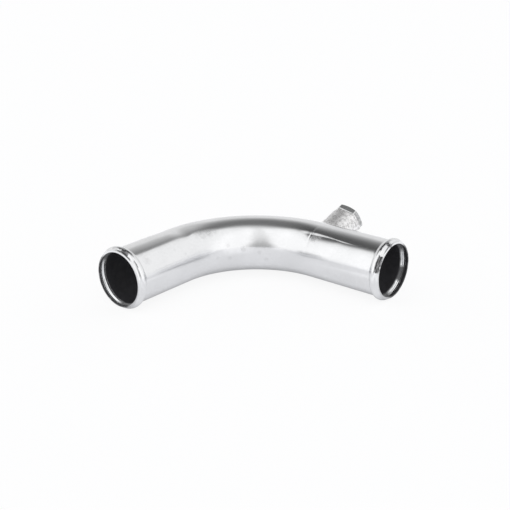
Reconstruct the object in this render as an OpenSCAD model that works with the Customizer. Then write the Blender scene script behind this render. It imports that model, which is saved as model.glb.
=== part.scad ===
// Bent coolant pipe with a hose bead at each mouth and a threaded sensor boss.
// Millimetres. The centre of mouth A is the origin. Leg A runs along +X, the bend
// turns clockwise in the XY plane, leg B runs away from it, and +Z is up.

/* [Tube] */
// Outer diameter of the tube, which is the hose's inner diameter
tube_od = 38; // [32:0.5:50]
// Wall thickness of the tube
wall = 1.5; // [1:0.1:2]
// Rounding of the two edges at each mouth
edge_round = 0.4; // [0.1:0.05:0.45]

/* [Bend and legs] */
// Radius of the bend, to the tube's centreline
bend_radius = 67.5; // [55:0.5:120]
// Angle that the bend turns through
bend_angle = 90; // [30:1:120]
// Straight length from mouth A to the bend
leg_a = 54.5; // [40:0.5:120]
// Straight length from the bend to mouth B
leg_b = 59.5; // [45:0.5:120]

/* [Hose beads] */
// Height of each bead above the tube
bead_height = 1.7; // [1:0.1:2.2]
// Radius of the bead's rounded crest, measured outside
crest_arc = 2.6; // [2.3:0.1:3.4]
// Radius of the hollow that blends the bead into the tube
foot_arc = 1.4; // [0.8:0.1:2]
// Straight lip between the mouth and the bead
lip = 0.5; // [0.5:0.1:6]

/* [Sensor boss] */
// Distance of the boss axis past the end of the bend, along leg B
boss_from_bend = 0; // [0:0.5:15]
// Angle of the boss axis above the plane of the bend
boss_tilt = 21; // [-60:1:90]
// Height of the boss end above the tube
boss_height = 20; // [14:0.5:35]
// Hexagon size across its flats
hex_across = 21; // [20.5:0.5:24]
// Turn of the hexagon about the boss axis, from a corner that points along leg B
hex_turn = 15; // [0:1:59]
// Length of the hexagonal head
head_length = 5; // [4:0.5:8]
// Diameter of the flat ring that the end chamfer leaves
crown_ring = 19.5; // [18:0.5:20]
// Angle of the end chamfer to the end face
crown_angle = 30; // [15:1:40]
// Diameter of the turned shank under the head
shank_diameter = 19.5; // [18:0.5:20]
// Diameter of the spigot that passes through the tube wall
spigot_diameter = 16; // [15:0.5:17]
// Radial clearance of the spigot in the tube's hole
spigot_clearance = 0.1; // [0.05:0.05:0.3]

/* [Thread] */
// Nominal diameter of the sensor's thread
thread_diameter = 14; // [10:1:14]
// Pitch of the thread
thread_pitch = 1.5; // [1:0.25:1.5]
// Radial width of the lead-in chamfer beyond the thread
lead_in = 0.6; // [0.2:0.1:1]

/* [Brazed collar] */
// Thickness of the filler around the shank, just under the head
filler_thickness = 1.25; // [0.75:0.05:2]
// Radial growth of the collar from the head down to its toe
collar_taper = 0.4; // [0:0.1:1]
// Height up the head's flats to which the filler has crept
creep = 2; // [0.5:0.1:3]
// Radial width of the toe that spreads on the tube
toe_width = 1.6; // [0.5:0.1:2.5]
// Height of the toe
toe_height = 1.8; // [0.5:0.1:3]

/* [Hidden] */
$fn = 96;
// Facets on the small arcs of the tube's section
arc_fn = 32;
outer_r = tube_od / 2;
inner_r = outer_r - wall;
// Ratio of an ISO thread's minor diameter to its nominal size, per pitch
minor_per_pitch = 1.0825;
tap_r = (thread_diameter - minor_per_pitch * thread_pitch) / 2;
// Radius of the 45 degree lead-in at the boss end
mouth_r = thread_diameter / 2 + lead_in;
// Distance between the centres of the crest arc and a foot arc
arc_sum = crest_arc + foot_arc;
// Half the bead's width, from its crest to where a foot arc leaves the tube
bead_half = sqrt(2 * arc_sum * bead_height - bead_height * bead_height);
crest_centre_r = outer_r + bead_height - crest_arc;
foot_centre_r = outer_r + foot_arc;
// Heights on the boss axis, measured from the tube's centreline
boss_end = outer_r + boss_height;
head_foot = boss_end - head_length;
hex_corner_r = hex_across / sqrt(3);
hole_r = spigot_diameter / 2 + spigot_clearance;
// How far a cutting shape runs past the face that it cuts
past = 1;

// The bead's side of the tube wall in a leg's radial section: a band from the tube
// out to the crest, with foot_r as the surface's radius and grow as the depth below it
module bead_outline(bead_z, foot_r, grow) {
    difference() {
        polygon([
            [foot_r - past, bead_z - bead_half],
            [foot_centre_r, bead_z - bead_half],
            [crest_centre_r, bead_z],
            [foot_centre_r, bead_z + bead_half],
            [foot_r - past, bead_z + bead_half]
        ]);
        for (side = [-1, 1])
            translate([foot_centre_r, bead_z + side * bead_half])
                circle(r = foot_arc + grow, $fn = arc_fn);
    }
    translate([crest_centre_r, bead_z])
        circle(r = crest_arc - grow, $fn = arc_fn);
}

// The corner that a rounded edge takes off, at radius r, with side 1 outside
module edge_corner(length, r, side) {
    centre_r = r - side * edge_round;
    difference() {
        translate([min(centre_r, r + side * past), length - edge_round])
            square([edge_round + past, edge_round + past]);
        translate([centre_r, length - edge_round])
            circle(r = edge_round, $fn = arc_fn);
    }
}

// Radial section of a leg's wall, from the bend at 0 to the mouth at length
module leg_section(length) {
    bead_z = length - lip - bead_half;
    difference() {
        union() {
            square([outer_r, length]);
            bead_outline(bead_z, outer_r, 0);
        }
        translate([-past, -past])
            square([inner_r + past, length + 2 * past]);
        bead_outline(bead_z, inner_r, wall);
        edge_corner(length, outer_r, 1);
        edge_corner(length, inner_r, -1);
    }
}

// Places its children on leg A, with their Z axis from the bend to mouth A
module on_leg_a() {
    translate([leg_a, 0, 0])
        rotate([0, -90, 0])
            children();
}

// Places its children at the end of the bend, with their X axis along leg B
module at_leg_b() {
    translate([leg_a, -bend_radius, 0])
        rotate([0, 0, -bend_angle])
            translate([0, bend_radius, 0])
                children();
}

// Places its children on leg B, with their Z axis from the bend to mouth B
module on_leg_b() {
    at_leg_b()
        rotate([0, 90, 0])
            children();
}

// Places its children on the boss axis, with Z = 0 on the tube's centreline
module on_boss() {
    at_leg_b()
        translate([boss_from_bend, 0, 0])
            rotate([boss_tilt - 90, 0, 0])
                children();
}

// Sweeps a section drawn about the origin round the bend
module round_bend() {
    translate([leg_a, -bend_radius, 0])
        rotate([0, 0, 90 - bend_angle])
            rotate_extrude(angle = bend_angle)
                translate([bend_radius, 0])
                    children();
}

// The tube's solid outline near the boss, out to radius r
module tube_solid(r) {
    on_leg_b()
        cylinder(h = leg_b - lip - 2 * bead_half, r = r);
    round_bend()
        circle(r = r);
}

// Tube with its two beads, and the hole for the boss in its wall
module pipe() {
    color([0.80, 0.81, 0.82])
        difference() {
            union() {
                on_leg_a()
                    rotate_extrude()
                        leg_section(leg_a);
                on_leg_b()
                    rotate_extrude()
                        leg_section(leg_b);
                round_bend()
                    difference() {
                        circle(r = outer_r);
                        circle(r = inner_r);
                    }
            }
            on_boss()
                cylinder(h = outer_r + past, r = hole_r);
        }
}

// Blank that chamfers the end of the hexagonal head
module crown_blank() {
    rise = (hex_corner_r + past - crown_ring / 2) * tan(crown_angle);
    rotate_extrude()
        polygon([
            [0, head_foot - past],
            [hex_corner_r + past, head_foot - past],
            [hex_corner_r + past, boss_end - rise],
            [crown_ring / 2, boss_end],
            [0, boss_end]
        ]);
}

// Hexagonal head and turned shank, with no holes, down to the tube's centreline
module boss_blank() {
    intersection() {
        translate([0, 0, head_foot])
            rotate([0, 0, hex_turn])
                cylinder(h = head_length, r = hex_corner_r, $fn = 6);
        crown_blank();
    }
    cylinder(h = head_foot, d = shank_diameter);
}

// Boss that takes the sensor: it sits on the tube and its spigot fills the hole
module sensor_boss() {
    color([0.72, 0.73, 0.74])
        difference() {
            union() {
                difference() {
                    on_boss()
                        boss_blank();
                    tube_solid(outer_r);
                }
                on_boss()
                    cylinder(h = head_foot, d = spigot_diameter);
            }
            tube_solid(inner_r);
            on_boss()
                cylinder(h = boss_end + past, r = tap_r);
            on_boss()
                translate([0, 0, boss_end - mouth_r])
                    cylinder(h = mouth_r + past, r1 = 0, r2 = mouth_r + past);
        }
}

// Filler round the shank: its toe spreads on the tube and its top has crept up the head
module braze_collar() {
    collar_r = shank_diameter / 2 + filler_thickness;
    toe_r = collar_r + collar_taper;
    creep_top = head_foot + creep;
    color([0.66, 0.65, 0.64])
        difference() {
            on_boss()
                rotate_extrude()
                    polygon([
                        [0, 0],
                        [toe_r + toe_width, 0],
                        [toe_r + toe_width, outer_r - toe_width / 2],
                        [toe_r, outer_r - toe_width / 2 + toe_height],
                        [collar_r, head_foot],
                        [hex_across / 2, creep_top],
                        [0, creep_top]
                    ]);
            on_boss()
                boss_blank();
            tube_solid(outer_r);
        }
}

pipe();
sensor_boss();
braze_collar();
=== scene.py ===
"""Looks of the bent coolant pipe: zinc-plated tube, threaded hexagonal boss and brazed joint.

Everything is in metres in the part's own frame. The centre of mouth A is the origin, leg A runs
along +X, the bend lies in the XY plane and leg B runs along -Y.
"""

import math

import bpy
import numpy as np
from mathutils import Matrix, Vector


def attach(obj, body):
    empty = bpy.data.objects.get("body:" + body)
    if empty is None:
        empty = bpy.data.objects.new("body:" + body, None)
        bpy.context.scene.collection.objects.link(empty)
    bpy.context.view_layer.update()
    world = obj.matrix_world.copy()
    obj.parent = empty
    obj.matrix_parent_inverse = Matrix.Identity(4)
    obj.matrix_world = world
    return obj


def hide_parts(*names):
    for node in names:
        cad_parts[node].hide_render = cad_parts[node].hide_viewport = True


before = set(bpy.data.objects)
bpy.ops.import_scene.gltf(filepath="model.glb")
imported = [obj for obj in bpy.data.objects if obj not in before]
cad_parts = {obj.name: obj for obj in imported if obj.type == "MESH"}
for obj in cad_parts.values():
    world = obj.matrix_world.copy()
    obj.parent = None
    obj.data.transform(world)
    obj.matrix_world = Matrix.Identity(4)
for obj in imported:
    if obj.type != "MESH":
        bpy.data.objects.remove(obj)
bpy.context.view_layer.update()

MM = 0.001

# Sizes of the part, in millimetres, as in its CAD source
OUTER_R = 19.0
WALL = 1.5
INNER_R = OUTER_R - WALL
EDGE_ROUND = 0.4
BEND_R = 67.5
LEG_A = 54.5
LEG_B = 59.5
BEND_ARC = BEND_R * math.pi / 2
BEAD_HEIGHT = 1.7
CREST_ARC = 2.6
FOOT_ARC = 1.4
LIP = 0.5
ARC_SUM = CREST_ARC + FOOT_ARC
BEAD_HALF = math.sqrt(2 * ARC_SUM * BEAD_HEIGHT - BEAD_HEIGHT ** 2)
CREST_R = OUTER_R + BEAD_HEIGHT - CREST_ARC
FOOT_R = OUTER_R + FOOT_ARC

BOSS_TILT = math.radians(21)
BOSS_END = 39.0
HEAD_FOOT = 34.0
HEX_ACROSS = 21.0
HEX_TURN = math.radians(15)
CROWN_RING_R = 9.75
CROWN_ANGLE = math.radians(30)
SHANK_R = 9.75
SPIGOT_R = 8.0
HOLE_R = 8.1
PITCH = 1.5
TAP_R = (14 - 1.0825 * PITCH) / 2
THREAD_MAJOR_R = 7.0
MOUTH_R = 7.6

FLOOR_Z = -(OUTER_R + BEAD_HEIGHT)


def smooth(x):
    """Smooth step of x from 0 to 1."""
    x = np.clip(x, 0, 1)
    return x * x * (3 - 2 * x)


def bump_at(x, middle, half):
    """A smooth hump of height 1 at middle that ends half to either side."""
    return smooth(1 - np.abs(x - middle) / half)


# ---------------------------------------------------------------- smooth noise for shapes

def lattice(seed, shape):
    return np.random.RandomState(seed).uniform(-1, 1, shape)


def noise2(u, v, seed, period_u=None):
    """Smooth value noise of the two coordinates, from -1 to 1. u repeats after period_u."""
    grid = lattice(seed, (64, 64))
    iu, iv = np.floor(u).astype(int), np.floor(v).astype(int)
    fu, fv = u - iu, v - iv
    fu, fv = fu * fu * (3 - 2 * fu), fv * fv * (3 - 2 * fv)
    wrap = period_u or 64
    u0, u1 = iu % wrap, (iu + 1) % wrap
    v0, v1 = iv % 64, (iv + 1) % 64
    low = grid[u0, v0] * (1 - fu) + grid[u1, v0] * fu
    high = grid[u0, v1] * (1 - fu) + grid[u1, v1] * fu
    return low * (1 - fv) + high * fv


# ---------------------------------------------------------------- meshes

def mesh_object(name, points, faces, material, smooth_shading=True):
    """A mesh object from points in millimetres."""
    mesh = bpy.data.meshes.new(name)
    mesh.from_pydata((np.asarray(points) * MM).tolist(), [], faces)
    mesh.validate()
    if smooth_shading:
        mesh.shade_smooth()
    mesh.materials.append(material)
    made = bpy.data.objects.new(name, mesh)
    bpy.context.scene.collection.objects.link(made)
    return made


def ring_faces(rows, around, close_rows=False, flip=False):
    """Quads between rows of points that each go once around."""
    faces = []
    last = rows if close_rows else rows - 1
    for i in range(last):
        a, b = i * around, ((i + 1) % rows) * around
        for j in range(around):
            k = (j + 1) % around
            quad = (a + j, a + k, b + k, b + j)
            faces.append(quad[::-1] if flip else quad)
    return faces


def path_frame(s):
    """Centre, outward and travel directions on the tube's path, s millimetres from mouth A."""
    if s <= LEG_A:
        return np.array([s, 0, 0.0]), np.array([0, 1.0, 0]), np.array([1.0, 0, 0])
    turn = min((s - LEG_A) / BEND_R, math.pi / 2)
    out = np.array([math.sin(turn), math.cos(turn), 0])
    way = np.array([math.cos(turn), -math.sin(turn), 0])
    centre = np.array([LEG_A, -BEND_R, 0]) + BEND_R * out
    if s > LEG_A + BEND_ARC:
        centre = centre + (s - LEG_A - BEND_ARC) * way
    return centre, out, way


def arc(centre, radius, start, end, count):
    """Points (distance from the mouth, radius) along an arc given in degrees."""
    angles = np.radians(np.linspace(start, end, count))
    return [(centre[0] + radius * math.cos(a), centre[1] + radius * math.sin(a)) for a in angles]


def mouth_profile(inside):
    """(distance from the mouth, radius) from the mouth's end face to the end of the bead."""
    lean = math.degrees(math.atan2(FOOT_R - CREST_R, BEAD_HALF))
    bead = LIP + BEAD_HALF
    sign, surface = (-1, INNER_R) if inside else (1, OUTER_R)
    grow = WALL if inside else 0
    edge = arc((EDGE_ROUND, surface - sign * EDGE_ROUND), EDGE_ROUND, 180, 180 - sign * 90, 6)
    foot_1 = arc((LIP, FOOT_R), FOOT_ARC + grow, -90, -lean, 10)
    crest = arc((bead, CREST_R), CREST_ARC - grow, 180 - lean, lean, 19)
    foot_2 = arc((LIP + 2 * BEAD_HALF, FOOT_R), FOOT_ARC + grow, 180 + lean, 270, 10)
    return edge + foot_1 + crest[1:] + foot_2[1:]


PATH_END = LEG_A + BEND_ARC + LEG_B
GRIP = LEG_A + BEND_ARC
LINE_ANGLE = np.radians(123)


def tube_marks(s, phi):
    """Height of the marks that bending left on the tube, in millimetres. All of them are hollows."""
    degrees = np.degrees(phi)
    along = s - GRIP
    clamped = smooth((along - 0.3) / 2.6)
    # the die's parting line along leg B: a step that gets finer to about half way
    thin = smooth((along - 2) / 22)
    start = 119.5 + 5.5 * smooth((along - 4) / 28)
    step = (0.50 - 0.37 * thin) * smooth((degrees - start) / (9.0 - 5.6 * thin))
    step = step * (0.5 * smooth((along + 10) / 9) + 0.5 * clamped) * smooth((41 - along) / 16)
    # the bend is a little flat up to the clamp's line
    flat = 0.36 * smooth((degrees - 98) / 32) * smooth((along + 27) / 22) * (1 - smooth((along - 1) / 2.6))
    # the wall has sunk a little where the bend starts
    reach = 32 - 14 * smooth((s - 50) / 12)
    sunk = 0.014 * reach * bump_at(degrees, 100, reach) * smooth((s - 41) / 13) * (1 - smooth((s - 62) / 22))
    return -(step + flat) * (1 - smooth((degrees - 135) / 45)) - sunk


def build_pipe(materials):
    """The tube's outer and inner surfaces and its rounded mouths, as one closed skin."""
    fine = np.linspace(112, 134, 45)
    coarse = np.linspace(134, 472, 168)[1:-1]
    angles = np.radians(np.concatenate([fine, coarse]) % 360)
    around = len(angles)
    bead_end = LIP + 2 * BEAD_HALF

    def drawn(ends, share, hollow):
        """Inside, the bead's groove is shorter and shallower than outside, and nearer the rim."""
        return [(EDGE_ROUND + (d - EDGE_ROUND) * share, INNER_R + (r - INNER_R) * hollow)
                if d > EDGE_ROUND else (d, r) for d, r in ends]

    def rows(inside, step):
        ends = mouth_profile(inside)
        surface = INNER_R if inside else OUTER_R
        start = drawn(ends, 0.58, 0.60) if inside else ends
        count = int(round((PATH_END - 2 * bead_end) / step))
        middle = [(s, surface) for s in np.linspace(bead_end, PATH_END - bead_end, count + 1)[1:-1]]
        if not inside:
            near = [(GRIP + 1.6 + d, surface) for d in np.linspace(-1.8, 1.8, 15)]
            middle = sorted(set([m for m in middle if abs(m[0] - GRIP - 1.6) > 2.2] + near))
        end = drawn(ends, 0.90, 1.0) if inside else ends
        end = [(PATH_END - d, r) for d, r in end][::-1]
        return start + middle + end

    loops = rows(False, 1.25) + rows(True, 2.5)[::-1]
    outside_count = len(rows(False, 1.25))
    points = []
    for i, (s, r) in enumerate(loops):
        centre, out, _ = path_frame(min(max(s, 0), PATH_END))
        radius = np.full(around, r)
        if i < outside_count and bead_end < s < PATH_END - bead_end:
            radius = radius + tube_marks(s, angles)
        up = np.array([0, 0, 1.0])
        points.append(centre + radius[:, None] * (np.cos(angles)[:, None] * out + np.sin(angles)[:, None] * up))
    made = mesh_object("pipe_tube", np.concatenate(points), ring_faces(len(loops), around, close_rows=True), materials[0])
    made.data.materials.append(materials[1])
    first_inner = outside_count * around
    last_inner = (len(loops) - 1) * around
    index = np.zeros(len(made.data.polygons), np.int32)
    index[first_inner:last_inner] = 1
    made.data.polygons.foreach_set("material_index", index)
    return made


def boss_frame():
    """Matrix from the boss's own axes, Z along its axis from the tube's centreline."""
    z = np.array([math.cos(BOSS_TILT), 0, math.sin(BOSS_TILT)])
    # X along leg B before the turn, as in the source
    x = np.array([0, -1.0, 0])
    y = np.cross(z, x)
    origin = np.array([LEG_A + BEND_R, -BEND_R, 0])
    return x, y, z, origin


BX, BY, BZ, BO = boss_frame()


def boss_points(r, phi, h):
    """Points at radius r and angle phi about the boss axis, h along it."""
    r, phi, h = np.broadcast_arrays(np.asarray(r, float), np.asarray(phi, float), np.asarray(h, float))
    return (BO + r[..., None] * (np.cos(phi)[..., None] * BX + np.sin(phi)[..., None] * BY) + h[..., None] * BZ)


def tube_distance(p):
    """Distance of points from the tube's centreline, in millimetres."""
    leg = np.hypot(p[..., 0] - LEG_A - BEND_R, p[..., 2])
    ring = np.hypot(np.hypot(p[..., 0] - LEG_A, p[..., 1] + BEND_R) - BEND_R, p[..., 2])
    return np.where(p[..., 1] <= -BEND_R, leg, ring)


def height_on_tube(r, phi, tube_r):
    """Where the line at radius r and angle phi about the boss axis leaves the tube of radius tube_r."""
    r, phi = np.broadcast_arrays(np.asarray(r, float), np.asarray(phi, float))
    low, high = np.zeros(r.shape), np.full(r.shape, 40.0)
    for _ in range(40):
        middle = (low + high) / 2
        inside = tube_distance(boss_points(r, phi, middle)) < tube_r
        low, high = np.where(inside, middle, low), np.where(inside, high, middle)
    return (low + high) / 2


def hex_radius(phi, corner_round=0.25):
    """Radius of the hexagon at angle phi, its corners slightly rounded."""
    a = np.mod(phi - HEX_TURN, math.pi / 3) - math.pi / 6
    flat = HEX_ACROSS / 2 / np.cos(a)
    limit = HEX_ACROSS / 2 / math.cos(math.pi / 6) - corner_round
    return -np.log(np.exp(-flat * 12) + np.exp(-limit * 12)) / 12


def build_boss(material):
    """Hexagonal head, shank, spigot and threaded bore of the boss, as one closed skin."""
    around = 288
    phi = np.arange(around) * 2 * math.pi / around + HEX_TURN
    head_r = hex_radius(phi)
    rows = []
    # outside, from the spigot's end up over the shank and the head
    spigot_low = height_on_tube(SPIGOT_R, phi, INNER_R)
    spigot_top = height_on_tube(SPIGOT_R, phi, OUTER_R)
    shank_low = height_on_tube(SHANK_R, phi, OUTER_R)
    bore_low = height_on_tube(THREAD_MAJOR_R, phi, INNER_R)
    for t in np.linspace(0, 1, 4):
        r = TAP_R + 0.9 + t * (SPIGOT_R - TAP_R - 0.9)
        rows.append((r, height_on_tube(r, phi, INNER_R)))
    for t in (0.3, 0.7, 1.0):
        rows.append((SPIGOT_R, spigot_low + t * (spigot_top - spigot_low)))
    for t in (0.35, 0.7, 1.0):
        r = SPIGOT_R + t * (SHANK_R - SPIGOT_R)
        rows.append((r, height_on_tube(r, phi, OUTER_R)))
    for t in (0.05, 0.3, 0.6, 0.9, 1.0):
        rows.append((SHANK_R, shank_low + t * (HEAD_FOOT - shank_low)))
    # underside and flats of the head, with a small rounding at its edges
    soft = 0.12
    foot = 0.5
    for turn in np.linspace(0, math.pi / 2, 6):
        rows.append((head_r - foot * (1 - math.sin(turn)), np.full(around, HEAD_FOOT + foot * (1 - math.cos(turn)))))
    crown_low = BOSS_END - (head_r - CROWN_RING_R) * math.tan(CROWN_ANGLE)
    for t in np.linspace(0, 1, 8)[1:-1]:
        rows.append((head_r, HEAD_FOOT + foot + t * (crown_low - HEAD_FOOT - foot - 1.2 * soft)))
    rows.append((head_r, crown_low - 1.2 * soft))
    rows.append((head_r - 0.25 * soft, crown_low - 0.3 * soft))
    rows.append((head_r - 0.9 * soft, crown_low + 0.35 * soft))
    for t in (0.25, 0.5, 0.75, 0.9):
        r = head_r + t * (CROWN_RING_R - head_r)
        rows.append((r, BOSS_END - (r - CROWN_RING_R) * math.tan(CROWN_ANGLE)))
    rows.append((np.full(around, CROWN_RING_R + 0.08), np.full(around, BOSS_END - 0.045)))
    rows.append((np.full(around, CROWN_RING_R - 0.1), np.full(around, BOSS_END)))
    for r in (9.4, 8.9, 8.4, 8.0, 7.75):
        rows.append((np.full(around, r), np.full(around, BOSS_END)))
    # inside, down the lead-in and the thread to the tube's bore
    thread_top = BOSS_END - 0.02
    per_turn = 16
    steps = int(round((thread_top - 13.0) / PITCH * per_turn))
    top = np.full(around, thread_top)
    for k in range(steps + 1):
        t = k / steps
        h = top + t * (bore_low + 0.35 - top)
        turn = np.mod(h / PITCH - phi / (2 * math.pi), 1.0)
        depth = THREAD_MAJOR_R - TAP_R
        groove = np.clip((0.5 - np.abs(turn - 0.5)) / 0.5, 0, 1)
        cut = TAP_R + depth * np.clip((groove - 0.125) / 0.70, 0, 1)
        cone = MOUTH_R - (BOSS_END - h)
        rows.append((np.maximum(cut, cone), h))
    points = np.concatenate([boss_points(np.broadcast_to(r, phi.shape), phi, h) for r, h in rows])
    return mesh_object("threaded_boss", points, ring_faces(len(rows), around, close_rows=True), material)


def build_braze(material):
    """The filler's uneven skin: its toe on the tube, the neck, and its top edge on the head's flats."""
    around = 300
    phi = np.arange(around) * 2 * math.pi / around
    head_r = hex_radius(phi)
    u = phi / (2 * math.pi)
    toe_r = 13.4 + 0.40 * noise2(u * 9, np.full(around, 3.3), 11, 9) + 0.15 * noise2(u * 23, np.full(around, 1.7), 12, 23)
    toe_h = height_on_tube(toe_r, phi, OUTER_R)
    # the filler has crept up the head on the side of leg B, and stops at its foot elsewhere
    high = smooth(np.cos(phi - math.radians(8)) * 2.4 - 1.0)
    creep = HEAD_FOOT + 0.05 + high * (1.3 + 0.35 * noise2(u * 13, np.full(around, 5.1), 13, 13))
    brim = head_r - 0.40 + 0.62 * smooth((creep - HEAD_FOOT) / 0.6)
    count = 52
    rows = []
    for i in range(count + 1):
        t = (i / count) ** 1.3
        neck = 11.0 + 0.4 * (1 - t)
        toe = (toe_r - neck) * (1 - np.sqrt(min(t / 0.24, 1.0))) ** 1.4
        ripple = 0.10 * noise2(u * 11, np.full(around, t * 6.0), 21, 11) + 0.05 * noise2(u * 31, np.full(around, t * 15.0), 22, 31)
        fade = smooth(t / 0.16) * smooth((1 - t) / 0.14)
        h = toe_h + t * (creep - toe_h)
        over = smooth((h - (HEAD_FOOT - 1.3)) / 1.3)
        r = neck * (1 - over) + over * brim + toe + ripple * fade
        edge = smooth((t - 0.93) / 0.07)
        r = r * (1 - edge) + edge * np.minimum(brim, head_r - 0.05)
        rows.append((r, h))
    # back down the inside, against the head, the shank and the tube
    rows.append((head_r - 0.55, creep))
    rows.append((head_r - 0.55, np.full(around, HEAD_FOOT - 0.2)))
    rows.append((np.full(around, SHANK_R - 0.2), np.full(around, HEAD_FOOT - 0.2)))
    inner_low = height_on_tube(SHANK_R - 0.2, phi, OUTER_R - 0.2)
    for t in (0.4, 0.8, 1.0):
        rows.append((np.full(around, SHANK_R - 0.2), HEAD_FOOT - 0.2 + t * (inner_low - HEAD_FOOT + 0.2)))
    for t in (0.3, 0.6, 0.85):
        r = SHANK_R - 0.2 + t * (toe_r - SHANK_R + 0.2)
        rows.append((r, height_on_tube(r, phi, OUTER_R - 0.2)))
    rows.append((toe_r - 0.05, height_on_tube(toe_r, phi, OUTER_R - 0.15)))
    points = np.concatenate([boss_points(np.broadcast_to(r, phi.shape), phi, h) for r, h in rows])
    return mesh_object("brazed_joint", points, ring_faces(len(rows), around, close_rows=True), material)


# ---------------------------------------------------------------- materials

class Nodes:
    """Short calls for building a material's node tree."""

    def __init__(self, name):
        self.material = bpy.data.materials.new(name)
        self.material.use_nodes = True
        self.tree = self.material.node_tree
        self.tree.nodes.clear()
        self.shader = self.add("ShaderNodeBsdfPrincipled")
        self.output = self.add("ShaderNodeOutputMaterial")
        self.link(self.shader, 0, self.output, 0)
        self.coords = self.add("ShaderNodeTexCoord").outputs["Object"]

    def add(self, kind, **settings):
        node = self.tree.nodes.new(kind)
        for key, value in settings.items():
            setattr(node, key, value)
        return node

    def link(self, a, out, b, into):
        self.tree.links.new(a.outputs[out], b.inputs[into])

    def put(self, node, key, value):
        socket = node.inputs[key]
        if isinstance(value, bpy.types.NodeSocket):
            self.tree.links.new(value, socket)
        else:
            socket.default_value = value

    def math(self, operation, a, b=0.0, clamp=False):
        node = self.add("ShaderNodeMath", operation=operation, use_clamp=clamp)
        self.put(node, 0, a)
        self.put(node, 1, b)
        return node.outputs[0]

    def scaled(self, factors):
        node = self.add("ShaderNodeVectorMath", operation="MULTIPLY")
        self.put(node, 0, self.coords)
        node.inputs[1].default_value = factors
        return node.outputs[0]

    def noise(self, scale, detail=3.0, rough=0.55, vector=None, distortion=0.0):
        node = self.add("ShaderNodeTexNoise")
        self.put(node, "Vector", vector or self.coords)
        node.inputs["Scale"].default_value = scale
        node.inputs["Detail"].default_value = detail
        node.inputs["Roughness"].default_value = rough
        node.inputs["Distortion"].default_value = distortion
        return node.outputs["Fac"]

    def ramp(self, value, low, high, to_low=0.0, to_high=1.0, smooth_step=True):
        node = self.add("ShaderNodeMapRange", interpolation_type="SMOOTHSTEP" if smooth_step else "LINEAR")
        self.put(node, "Value", value)
        node.inputs["From Min"].default_value = low
        node.inputs["From Max"].default_value = high
        node.inputs["To Min"].default_value = to_low
        node.inputs["To Max"].default_value = to_high
        return node.outputs["Result"]

    def mix(self, factor, a, b):
        node = self.add("ShaderNodeMix", data_type="RGBA")
        self.put(node, 0, factor)
        self.put(node, 6, a)
        self.put(node, 7, b)
        return node.outputs[2]

    def bump(self, height, distance, strength=1.0, normal=None):
        node = self.add("ShaderNodeBump")
        node.inputs["Strength"].default_value = strength
        node.inputs["Distance"].default_value = distance
        self.put(node, "Height", height)
        if normal is not None:
            self.put(node, "Normal", normal)
        return node.outputs["Normal"]

    def separate(self):
        node = self.add("ShaderNodeSeparateXYZ")
        self.put(node, 0, self.coords)
        return node.outputs[0], node.outputs[1], node.outputs[2]

    def along_tube(self):
        """Path length s in mm, angle phi in radians round the tube and radius in mm, as in path_frame."""
        x, y, z = (self.math("MULTIPLY", v, 1 / MM) for v in self.separate())
        u = self.math("MAXIMUM", self.math("SUBTRACT", x, LEG_A), 0.0)
        w = self.math("MAXIMUM", self.math("ADD", y, BEND_R), 0.0)
        out = self.math("SQRT", self.math("ADD", self.math("MULTIPLY", u, u), self.math("MULTIPLY", w, w)))
        out = self.math("SUBTRACT", out, BEND_R)
        turn = self.math("MULTIPLY", self.math("ARCTAN2", u, w), BEND_R)
        legs = self.math("ADD", self.math("MINIMUM", x, LEG_A), self.math("MAXIMUM", self.math("SUBTRACT", -BEND_R, y), 0.0))
        radius = self.math("SQRT", self.math("ADD", self.math("MULTIPLY", out, out), self.math("MULTIPLY", z, z)))
        return self.math("ADD", legs, turn), self.math("ARCTAN2", z, out), radius

    def band(self, value, low, high, soft):
        """1 between low and high, falling to 0 over soft at both ends."""
        rise = self.ramp(value, low - soft / 2, low + soft / 2)
        return self.math("MULTIPLY", rise, self.ramp(value, high - soft / 2, high + soft / 2, 1.0, 0.0))

    def sector(self, phi, low, high, soft):
        """1 where the angle phi lies between low and high degrees, falling to 0 over soft."""
        middle, half = math.radians((low + high) / 2), (high - low) / 2
        near = self.math("COSINE", self.math("SUBTRACT", phi, middle))
        return self.ramp(near, math.cos(math.radians(half + soft / 2)), math.cos(math.radians(half - soft / 2)))

    def spot(self, s, degrees, radius):
        """A round spot on the tube at path length s, faint towards its edge."""
        centre, out, _ = path_frame(s)
        turn = math.radians(degrees)
        node = self.add("ShaderNodeVectorMath", operation="DISTANCE")
        self.put(node, 0, self.coords)
        node.inputs[1].default_value = (centre + OUTER_R * (math.cos(turn) * out + math.sin(turn) * np.array([0, 0, 1]))) * MM
        return self.ramp(node.outputs["Value"], 0.2 * radius * MM, radius * MM, 1.0, 0.0)


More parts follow.
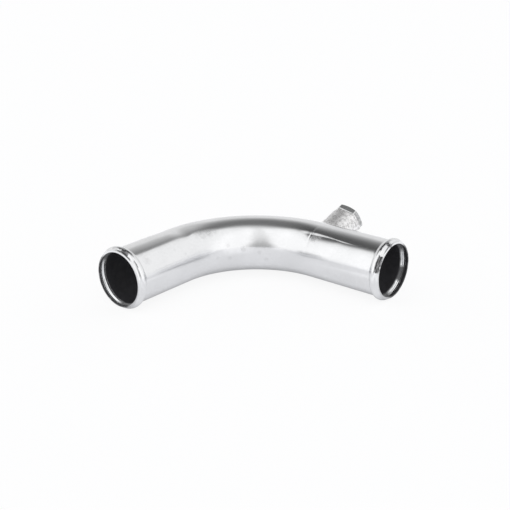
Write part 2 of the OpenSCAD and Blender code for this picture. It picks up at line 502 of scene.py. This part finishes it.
def zinc(name, tint, rough_low, rough_high, orange_peel, marks=None):
    """Bright zinc plate: a faint mottle in tone and gloss over a slightly uneven surface, and where marks are given,
    near-black, non-metallic patches: painted dark reflections, and on the tube real pits and smudges as well.
    """
    n = Nodes(name)
    cloud = n.noise(42, 4, 0.6)
    speck = n.noise(900, 3, 0.6)
    fine = n.noise(2600, 2, 0.5)
    dark = tuple(c * 0.94 for c in tint[:3]) + (1.0,)
    tone = n.math("ADD", n.math("MULTIPLY", cloud, 0.6), n.math("MULTIPLY", speck, 0.4))
    colour = n.mix(n.ramp(tone, 0.38, 0.62), dark, tint)
    rough = n.ramp(tone, 0.35, 0.65, rough_high, rough_low)
    if marks is None:
        n.shader.inputs["Metallic"].default_value = 1.0
    else:
        # the patches turn the colour near black and take the metal away: painted dark reflection, and on the tube
        # also real pits and smudges
        dull_and_painted_shade, streak, scuff = marks(n)
        stain_and_painted_shade = n.mix(n.ramp(streak, 0.46, 0.62), (0.022, 0.022, 0.024, 1), (0.24, 0.24, 0.245, 1))
        colour = n.mix(dull_and_painted_shade, colour, stain_and_painted_shade)
        n.put(n.shader, "Metallic", n.math("SUBTRACT", 1.0, dull_and_painted_shade))
        rough = n.math("ADD", rough, scuff)
    n.put(n.shader, "Base Color", colour)
    n.put(n.shader, "Roughness", rough)
    low = n.bump(n.noise(130, 2, 0.5), orange_peel)
    n.put(n.shader, "Normal", n.bump(fine, 0.000005, 1.0, low))
    return n.material


# Dark reflections painted on the beads as near-black, non-metallic patches, as (mouth, from and to degrees, from and
# to mm from the mouth, strength)
BEAD_PAINTED_REFLECTIONS = (
    ("A", 95, 115, 0.5, 3.9, 1.0),
    ("A", 93, 121, 3.0, 4.0, 0.85),
    ("A", 101, 127, 0.4, 1.2, 0.95),
    ("A", 131, 145, 1.9, 2.5, 0.85),
    ("A", 74, 86, 1.7, 2.6, 0.45),
    ("B", 100, 110, 0.0, 2.9, 1.0),
    ("B", 103, 128, 2.8, 3.9, 1.0),
    ("B", 135, 168, 0.0, 2.7, 1.0),
    ("B", 92, 99, 2.3, 3.4, 0.4),
)

# Faint pits and smudges of the tube, and dark spots painted where the studio's dark gap reflects on the bend, as (mm
# along its path, degrees round it, radius, strength)
TUBE_SPOTS_AND_PAINTED_SHADE = (
    (102.3, 173, 2.8, 0.17),
    (87.6, 162, 2.2, 0.08),
    (89.2, 190, 2.4, 0.06),
    (117.6, 181, 2.4, 0.08),
    (123.9, 197, 2.8, 0.06),
    (36.5, 138, 1.8, 0.04),
    (43.9, 154, 1.9, 0.05),
    (76.5, 184, 1.8, 0.04),
    (12.0, 139, 4.0, 0.09),
    (165.8, 134.5, 3.6, 0.60),
    (169.5, 131.5, 2.5, 0.35),
    (61.0, 129, 3.5, 0.05),
    (67.0, 129, 4.6, 0.23),
    (73.0, 128, 4.6, 0.26),
    (78.5, 127, 3.6, 0.15),
    (114.5, 166, 3.2, 0.10),
    (121.5, 165, 3.6, 0.12),
    (127.0, 168, 2.6, 0.08),
)


def tube_marks_and_painted_shade(n):
    """Dark marks of the tube's outside, real pits and smudges and painted dark reflections on its beads and bend,
    the streaks in them, and what scuffs add to its roughness.
    """
    s, phi, radius = n.along_tube()
    depth = {"A": s, "B": n.math("SUBTRACT", PATH_END, s)}
    nearest = n.math("MINIMUM", depth["A"], depth["B"])
    # streaks in the dark patches, painted reflections among them, run round the beads
    flat = n.add("ShaderNodeCombineXYZ")
    n.put(flat, 0, n.math("MULTIPLY", nearest, 1.3))
    n.put(flat, 1, n.math("MULTIPLY", phi, 3.2))
    streak = n.noise(1.0, 3, 0.6, flat.outputs[0])
    ragged = n.math("SUBTRACT", n.noise(650, 3, 0.65), 0.5)
    turned = n.math("ADD", phi, n.math("MULTIPLY", ragged, 0.30))
    dull_and_painted_shade = 0.0
    # painted dark reflections on the beads
    for mouth, start, end, low, high, strength in BEAD_PAINTED_REFLECTIONS:
        at = n.math("ADD", depth[mouth], n.math("MULTIPLY", ragged, 1.4))
        patch = n.math("MULTIPLY", n.sector(turned, start, end, 5), n.band(at, low, high, 0.6))
        dull_and_painted_shade = n.math("MAXIMUM", n.math("MULTIPLY", patch, strength), dull_and_painted_shade)
    uneven = n.ramp(n.noise(380, 3, 0.6), 0.30, 0.62, 0.35, 1.25)
    # real pits and smudges, and painted dark reflection on the bend
    for at, degrees, size, strength in TUBE_SPOTS_AND_PAINTED_SHADE:
        patch = n.math("MULTIPLY", n.spot(at, degrees, size), strength)
        dull_and_painted_shade = n.math("MAXIMUM", n.math("MULTIPLY", patch, uneven), dull_and_painted_shade)
    # the end faces are dark and not metallic over the lower, outer part of each rim
    for mouth, start, end, edge in (("A", -118, 42, OUTER_R - 0.35), ("B", -102, 52, OUTER_R + 0.05)):
        face = n.ramp(radius, edge, edge + 0.25, 1.0, 0.0)
        rim = n.math("MULTIPLY", n.sector(phi, start, end, 24), n.ramp(depth[mouth], 0.30, 0.45, 1.0, 0.0))
        dull_and_painted_shade = n.math("MAXIMUM", n.math("MULTIPLY", rim, face), dull_and_painted_shade)
    # scuffed where the bend starts
    scuff = n.math("MULTIPLY", n.band(s, 57, 73, 22), 0.07)
    return dull_and_painted_shade, streak, scuff


def boss_flat_painted_reflection(n):
    """Dark reflection painted on the hexagon bar's flat towards leg B."""
    across, up = (n.add("ShaderNodeVectorMath", operation="DOT_PRODUCT") for _ in range(2))
    offset = n.add("ShaderNodeVectorMath", operation="SUBTRACT")
    n.put(offset, 0, n.coords)
    offset.inputs[1].default_value = BO * MM
    for node, way in ((across, BX), (up, BY)):
        n.put(node, 0, offset.outputs[0])
        node.inputs[1].default_value = way
    angle = n.math("ARCTAN2", up.outputs["Value"], across.outputs["Value"])
    far = n.math("SQRT", n.math("ADD", n.math("POWER", across.outputs["Value"], 2.0), n.math("POWER", up.outputs["Value"], 2.0)))
    on_flat = n.math("MULTIPLY", n.sector(angle, -44, 14, 3), n.ramp(far, 0.0101, 0.0104))
    streak = n.noise(420, 3, 0.6)
    # painted dark reflection on the flat
    dull_and_painted_shade = n.math("MULTIPLY", on_flat, n.ramp(streak, 0.35, 0.65, 0.62, 0.30))
    return dull_and_painted_shade, streak, 0.0


def inner_steel():
    """The tube's bore: plating only near the mouths, dark oxide further in, painted near black as the bore's shade
    and lighter deeper in.
    """
    n = Nodes("bore_steel")
    s, phi, _ = n.along_tube()
    depth_a, depth_b = s, n.math("SUBTRACT", PATH_END, s)
    depth = n.math("MINIMUM", depth_a, depth_b)
    wander = n.math("MULTIPLY", n.math("SUBTRACT", n.noise(160, 3, 0.6), 0.5), 1.4)
    reach = n.math("ADD", n.math("MINIMUM", n.math("ADD", depth_a, 1.2), n.math("ADD", depth_b, 0.2)), wander)
    plated = n.ramp(reach, 4.9, 6.4, 1.0, 0.0)
    # and thinner above and below the outer side
    plated = n.math("MULTIPLY", plated, n.math("MAXIMUM", n.sector(phi, -80, 26, 26), 0.2))
    # unplated dark lips over the lower, outer part of each rim, and an unplated patch in mouth B's bead
    lip_a = n.math("MULTIPLY", n.sector(phi, -118, 42, 24), n.ramp(depth_a, 0.5, 0.9, 1.0, 0.0))
    lip_b = n.math("MULTIPLY", n.sector(phi, -102, 52, 24), n.ramp(depth_b, 1.7, 2.3, 1.0, 0.0))
    missed = n.math("MULTIPLY", n.sector(phi, -42, -12, 8), n.ramp(depth_b, 9.0, 10.0, 0.80, 0.0))
    unplated = n.math("MAXIMUM", n.math("MAXIMUM", lip_a, lip_b), missed)
    plated = n.math("MULTIPLY", plated, n.math("SUBTRACT", 1.0, unplated))
    patch = n.ramp(n.noise(300, 4, 0.6), 0.35, 0.65)
    # painted shade of the bore over its oxide: near black by the mouths, lighter deeper in where less light reaches
    near = n.mix(patch, (0.028, 0.028, 0.031, 1), (0.036, 0.036, 0.040, 1))
    deep = n.mix(patch, (0.130, 0.130, 0.140, 1), (0.160, 0.160, 0.170, 1))
    dull_and_painted_shade = n.mix(n.ramp(depth, 6.0, 40.0), near, deep)
    n.put(n.shader, "Base Color", n.mix(plated, dull_and_painted_shade, (0.82, 0.83, 0.84, 1)))
    n.put(n.shader, "Metallic", plated)
    n.put(n.shader, "Roughness", n.ramp(plated, 0, 1, 0.75, 0.15))
    n.shader.inputs["Specular IOR Level"].default_value = 0.2
    n.put(n.shader, "Normal", n.bump(n.noise(900, 3, 0.6), 0.00002))
    return n.material


def braze_finish():
    """Plated filler: finely mottled."""
    n = Nodes("braze_plated")
    patch = n.noise(520, 4, 0.65, distortion=0.4)
    fine = n.noise(1500, 3, 0.6)
    tone = n.math("ADD", n.math("MULTIPLY", patch, 0.6), n.math("MULTIPLY", fine, 0.4))
    n.put(n.shader, "Base Color", n.mix(n.ramp(tone, 0.41, 0.56), (0.55, 0.545, 0.545, 1), (0.90, 0.895, 0.895, 1)))
    n.shader.inputs["Metallic"].default_value = 1.0
    n.put(n.shader, "Roughness", n.ramp(tone, 0.35, 0.65, 0.56, 0.42))
    n.put(n.shader, "Normal", n.bump(tone, 0.00010))
    return n.material


tube_zinc = zinc("tube_zinc", (0.83, 0.835, 0.845, 1), 0.15, 0.20, 0.00001, tube_marks_and_painted_shade)
boss_zinc = zinc("boss_zinc", (0.74, 0.745, 0.75, 1), 0.16, 0.28, 0.00002, boss_flat_painted_reflection)
bore_steel = inner_steel()
braze_plate = braze_finish()

pipe_tube = build_pipe([tube_zinc, bore_steel])
boss = build_boss(boss_zinc)
braze = build_braze(braze_plate)


def drill(target, radius, low, high):
    """Cuts the boss's round hole through one wall of the tube."""
    bpy.ops.mesh.primitive_cylinder_add(vertices=96, radius=radius * MM, depth=(high - low) * MM)
    cutter = bpy.context.object
    turn = Matrix((BX, BY, BZ)).transposed().to_4x4()
    middle = Vector(BO + BZ * (low + high) / 2) * MM
    cutter.matrix_world = Matrix.Translation(middle) @ turn
    bpy.context.view_layer.update()
    cut = target.modifiers.new("hole", "BOOLEAN")
    cut.operation = "DIFFERENCE"
    cut.solver = "EXACT"
    cut.object = cutter
    shown = bpy.context.evaluated_depsgraph_get()
    mesh = bpy.data.meshes.new_from_object(target.evaluated_get(shown))
    target.modifiers.clear()
    target.data = mesh
    bpy.data.objects.remove(cutter)


drill(pipe_tube, HOLE_R, 8.0, 30.0)

for piece, node, slot in (
    (pipe_tube, "pipe", "zinc_tube"),
    (boss, "sensor_boss", "zinc_boss"),
    (braze, "braze_collar", "braze"),
):
    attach(piece, "root")
    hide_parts(node)


# ---------------------------------------------------------------- floor, light and camera

VIEW_TURN = math.radians(50.32)
VIEW_DROP = math.radians(21.17)
VIEW_ROLL = math.radians(-0.23)
VIEW_DISTANCE = 0.61771
VIEW_FOCAL = 881.18
IMAGE_SIZE = 510
VIEW_TARGET = Vector((0.10223, -0.01977, 0))
TARGET_IN_IMAGE = (246.595, 242.41)

forward = Vector((math.sin(VIEW_TURN) * math.cos(VIEW_DROP), math.cos(VIEW_TURN) * math.cos(VIEW_DROP), -math.sin(VIEW_DROP)))
level = Vector((math.cos(VIEW_TURN), -math.sin(VIEW_TURN), 0))
steep = level.cross(forward)
right = math.cos(VIEW_ROLL) * level + math.sin(VIEW_ROLL) * steep
upward = -math.sin(VIEW_ROLL) * level + math.cos(VIEW_ROLL) * steep
half = IMAGE_SIZE / 2
toward = (forward + right * (TARGET_IN_IMAGE[0] - half) / VIEW_FOCAL + upward * (half - TARGET_IN_IMAGE[1]) / VIEW_FOCAL)

camera = bpy.data.objects.new("camera", bpy.data.cameras.new("camera"))
bpy.context.scene.collection.objects.link(camera)
camera.data.sensor_width = 36.0
camera.data.lens = VIEW_FOCAL / IMAGE_SIZE * 36.0
camera.data.clip_start, camera.data.clip_end = 0.01, 50
camera.matrix_world = Matrix.Translation(VIEW_TARGET - VIEW_DISTANCE * toward) @ Matrix((right, upward, -forward)).transposed().to_4x4()
bpy.context.scene.camera = camera


def calculator(tree):
    """A function that adds a maths node to the tree and returns its result."""
    def calc(operation, a, b=0.0):
        node = tree.nodes.new("ShaderNodeMath")
        node.operation = operation
        for i, value in enumerate((a, b)):
            if isinstance(value, bpy.types.NodeSocket):
                tree.links.new(value, node.inputs[i])
            else:
                node.inputs[i].default_value = value
        return node.outputs[0]
    return calc


def fader(tree):
    """A function that adds a smooth ramp to the tree and returns its result."""
    def fade(value, low, high, to_low=0.0, to_high=1.0):
        node = tree.nodes.new("ShaderNodeMapRange")
        node.interpolation_type = "SMOOTHSTEP"
        tree.links.new(value, node.inputs["Value"])
        for key, number in (("From Min", low), ("From Max", high), ("To Min", to_low), ("To Max", to_high)):
            node.inputs[key].default_value = number
        return node.outputs["Result"]
    return fade


def build_floor():
    """A plain pale floor. The camera sees it nearly white, with the object's soft shadow. In reflections it glows,
    with a painted shadow close to the tube, painted light farther off and painted shade towards the camera.
    """
    size = 6.0
    mesh = bpy.data.meshes.new("floor")
    z = FLOOR_Z * MM
    mesh.from_pydata([(-size, -size, z), (size, -size, z), (size, size, z), (-size, size, z)], [], [(0, 1, 2, 3)])
    floor = bpy.data.objects.new("floor", mesh)
    bpy.context.scene.collection.objects.link(floor)
    material = bpy.data.materials.new("floor_white")
    material.use_nodes = True
    tree = material.node_tree
    tree.nodes.clear()
    output = tree.nodes.new("ShaderNodeOutputMaterial")
    diffuse = tree.nodes.new("ShaderNodeBsdfDiffuse")
    diffuse.inputs["Color"].default_value = (0.845, 0.85, 0.88, 1)
    glow = tree.nodes.new("ShaderNodeEmission")
    glow.inputs["Color"].default_value = (1, 1, 1, 1)
    mix = tree.nodes.new("ShaderNodeMixShader")
    calc, fade = calculator(tree), fader(tree)
    seen = tree.nodes.new("ShaderNodeLightPath").outputs["Is Camera Ray"]
    # in reflections the floor glows with painted light: a painted shadow close to the tube, brighter away from it
    split = tree.nodes.new("ShaderNodeSeparateXYZ")
    tree.links.new(tree.nodes.new("ShaderNodeTexCoord").outputs["Object"], split.inputs[0])
    u = calc("MAXIMUM", calc("SUBTRACT", split.outputs[0], LEG_A * MM), 0.0)
    w = calc("MAXIMUM", calc("ADD", split.outputs[1], BEND_R * MM), 0.0)
    off = calc("SQRT", calc("ADD", calc("MULTIPLY", u, u), calc("MULTIPLY", w, w)))
    off = calc("ABSOLUTE", calc("SUBTRACT", off, BEND_R * MM))
    # except towards the camera, where painted shade stands for the camera's shadow
    bearing = calc("ARCTAN2", calc("SUBTRACT", 0.105, split.outputs[0]), calc("SUBTRACT", -0.024, split.outputs[1]))
    aside = fade(calc("ABSOLUTE", calc("SUBTRACT", bearing, math.radians(59))), math.radians(8), math.radians(26))
    # painted shadow near the tube, painted light away from it
    painted_reflected_light = calc("ADD", calc("MULTIPLY", fade(off, 0.035, 0.066, 0.0, 0.42), aside), fade(off, 0.006, 0.017, 0.50, 0.86))
    strength = calc("ADD", calc("MULTIPLY", painted_reflected_light, calc("SUBTRACT", 1.0, seen)), seen)
    share = calc("ADD", calc("MULTIPLY", seen, 0.43), 0.45)
    tree.links.new(strength, glow.inputs["Strength"])
    tree.links.new(share, mix.inputs[0])
    tree.links.new(diffuse.outputs[0], mix.inputs[1])
    tree.links.new(glow.outputs[0], mix.inputs[2])
    tree.links.new(mix.outputs[0], output.inputs["Surface"])
    mesh.materials.append(material)


def build_lamp():
    """Soft light from above for the floor. The metal shows the studio's cloth and not this lamp."""
    lamp = bpy.data.objects.new("overhead", bpy.data.lights.new("overhead", "SUN"))
    lamp.data.energy = 0.72
    lamp.data.angle = math.radians(85)
    lamp.rotation_euler = (math.radians(12), math.radians(-14), 0)
    lamp.visible_glossy = False
    bpy.context.scene.collection.objects.link(lamp)


def build_world():
    """A studio of white cloth with a dark opening above and behind the object, white to the camera."""
    world = bpy.data.worlds.new("studio")
    bpy.context.scene.world = world
    world.use_nodes = True
    tree = world.node_tree
    tree.nodes.clear()
    add, link = tree.nodes.new, tree.links.new

    calc, fade = calculator(tree), fader(tree)

    def dot(direction):
        node = add("ShaderNodeVectorMath")
        node.operation = "DOT_PRODUCT"
        link(way, node.inputs[0])
        node.inputs[1].default_value = direction
        return node.outputs["Value"]

    way = add("ShaderNodeTexCoord").outputs["Generated"]
    away = (math.sin(VIEW_TURN), math.cos(VIEW_TURN), 0)
    side = (math.cos(VIEW_TURN), -math.sin(VIEW_TURN), 0)
    p, q, z = dot(away), dot(side), dot((0, 0, 1))
    height = calc("MAXIMUM", z, 0.01)
    # where the direction meets a ceiling at height 1: back from overhead, and to the right
    back = calc("DIVIDE", p, height)
    across = calc("DIVIDE", q, height)
    # cloth: brightest at the two softboxes on the camera's side
    lean = calc("ADD", p, calc("MULTIPLY", q, 0.22))
    cloth = calc("ADD", fade(lean, -0.42, 0.05, 1.21, 1.02), fade(p, 0.35, 0.85, 0.0, -0.17))
    # dark opening of the studio, its edges as lines on the ceiling
    off_left, off_right = calc("MAXIMUM", calc("MULTIPLY", across, -1.0), 0.0), calc("MAXIMUM", across, 0.0)
    bow = calc("ADD", fade(off_left, 0.14, 0.43, -0.015, 0.15), calc("MULTIPLY", off_right, 0.44))
    width = fade(calc("ABSOLUTE", across), 0.0, 0.55, 0.52, 0.18)
    front_edge = fade(calc("DIVIDE", calc("SUBTRACT", back, bow), width), -0.5, 0.5)
    left_edge = fade(across, -1.30, -0.90)
    right_low, right_high = fade(back, 0.30, 0.60, 0.23, 0.45), fade(back, 0.30, 0.60, 0.78, 0.55)
    right_edge = calc("SUBTRACT", 1.0, calc("DIVIDE", calc("SUBTRACT", across, right_low), calc("SUBTRACT", right_high, right_low)))
    right_edge = fade(right_edge, 0.0, 1.0)
    far_low = calc("ADD", fade(across, -0.35, -0.05, 0.68, 0.55), fade(across, 0.0, 0.30, 0.0, -0.13))
    far_high = calc("ADD", fade(across, -0.35, -0.05, 1.75, 2.0), fade(across, 0.0, 0.30, 0.0, -0.15))
    far_edge = fade(calc("DIVIDE", calc("SUBTRACT", back, far_low), calc("SUBTRACT", far_high, far_low)), 0.0, 1.0, 1.0, 0.0)
    opening = calc("MULTIPLY", calc("MULTIPLY", front_edge, left_edge), calc("MULTIPLY", right_edge, far_edge))
    inside = calc("ADD", fade(across, -0.45, -0.10, 0.085, 0.19), fade(across, 0.20, 0.45, 0.0, -0.08))
    # the gap between the softboxes, where the camera stands
    bearing = calc("ARCTAN2", q, calc("MULTIPLY", p, -1.0))
    off = calc("ABSOLUTE", calc("ADD", bearing, math.radians(8.5)))
    spread = calc("DIVIDE", off, fade(z, 0.05, 0.42, math.radians(30), math.radians(20)))
    gap = calc("MULTIPLY", fade(spread, 0.27, 1.0, 1.0, 0.0), fade(z, -0.1, 0.95, 0.66, 0.20))
    tone = calc("MULTIPLY", cloth, calc("SUBTRACT", 1.0, gap))
    tone = calc("ADD", calc("MULTIPLY", tone, calc("SUBTRACT", 1.0, opening)), calc("MULTIPLY", opening, inside))
    seen = add("ShaderNodeLightPath").outputs["Is Camera Ray"]
    studio, white = add("ShaderNodeBackground"), add("ShaderNodeBackground")
    for ground in (studio, white):
        ground.inputs["Color"].default_value = (1, 1, 1, 1)
    link(tone, studio.inputs["Strength"])
    white.inputs["Strength"].default_value = 1.0
    mix = add("ShaderNodeMixShader")
    link(seen, mix.inputs[0])
    link(studio.outputs[0], mix.inputs[1])
    link(white.outputs[0], mix.inputs[2])
    link(mix.outputs[0], add("ShaderNodeOutputWorld").inputs["Surface"])


build_floor()
build_lamp()
build_world()

bpy.context.scene.view_settings.view_transform = "Standard"
